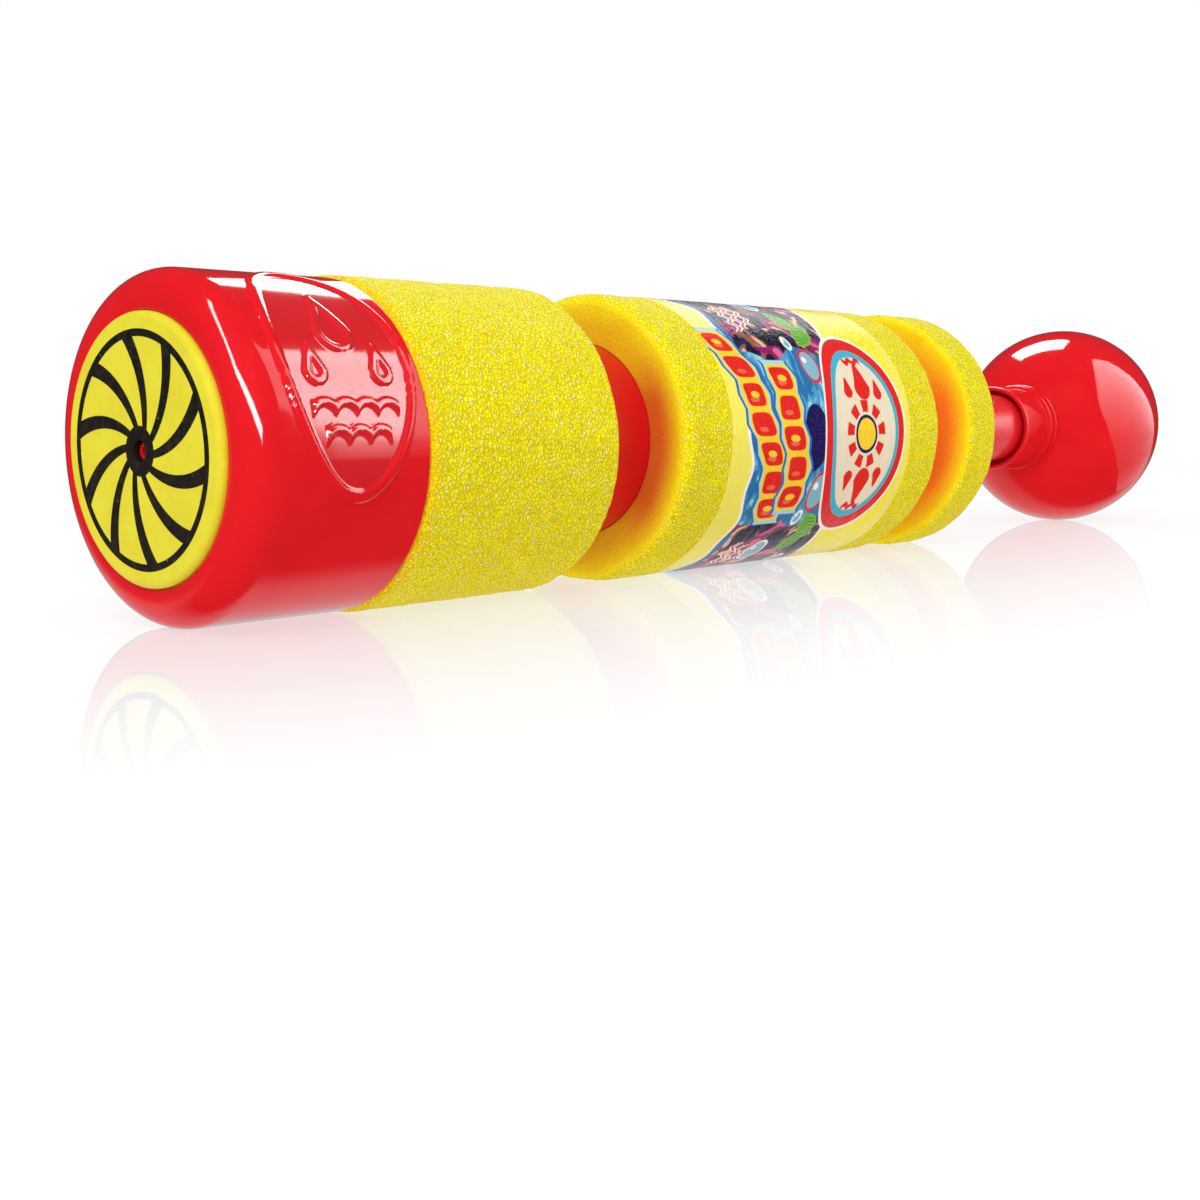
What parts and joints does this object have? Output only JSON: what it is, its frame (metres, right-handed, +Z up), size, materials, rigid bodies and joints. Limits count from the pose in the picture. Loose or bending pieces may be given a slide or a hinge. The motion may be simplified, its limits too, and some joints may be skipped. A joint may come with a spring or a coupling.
{
  "type": "water squirter",
  "caption": "Hand-pumped foam water squirter with a nozzle cap, foam sleeves round a barrel tube, and a plunger with a ball knob that slides and turns.",
  "frame": {"origin": "on the floor under the middle of the squirter as it lies on its foam, with the plunger partly drawn as pictured", "axes": "+X along the barrel from the nozzle to the ball knob, +Z up, +Y away from the side that carries the raised badge"},
  "size_m": [0.354, 0.06, 0.0595],
  "materials": {
    "red_gloss": "gloss",
    "red_barrel": "gloss",
    "yellow_foam": "matte",
    "yellow_disc": "satin",
    "black_print": "satin",
    "label_print": "gloss",
    "seal_rubber": "matte",
    "inner_white": "satin",
    "screw_steel": "satin"
  },
  "bodies": {
    "barrel_group": {"nozzle_cap": "red_gloss", "front_disc": "yellow_disc", "disc_print": "black_print", "nozzle_plug": "red_gloss", "plug_seal": "seal_rubber", "barrel": "red_barrel", "front_foam": "yellow_foam", "middle_foam": "yellow_foam", "label_film": "label_print", "rear_foam": "yellow_foam", "rear_bush": "red_gloss"},
    "seal_group": {"piston_seal": "seal_rubber"},
    "plunger_group": {"rod": "red_gloss", "stop_ring": "seal_rubber", "piston_body": "inner_white", "piston_clamp": "inner_white", "piston_screw": "screw_steel", "knob": "red_gloss"}
  },
  "joints": [
    {"name": "plunger_slide", "type": "slide", "parent": "barrel_group", "child": "seal_group", "axis": [1, 0, 0], "range_m": [-0.0487, 0.132]},
    {"name": "handle_spin", "type": "hinge", "parent": "seal_group", "child": "plunger_group", "pos_m": [-0.11464, 0, 0.0295], "axis": [1, 0, 0], "continuous": true}
  ]
}
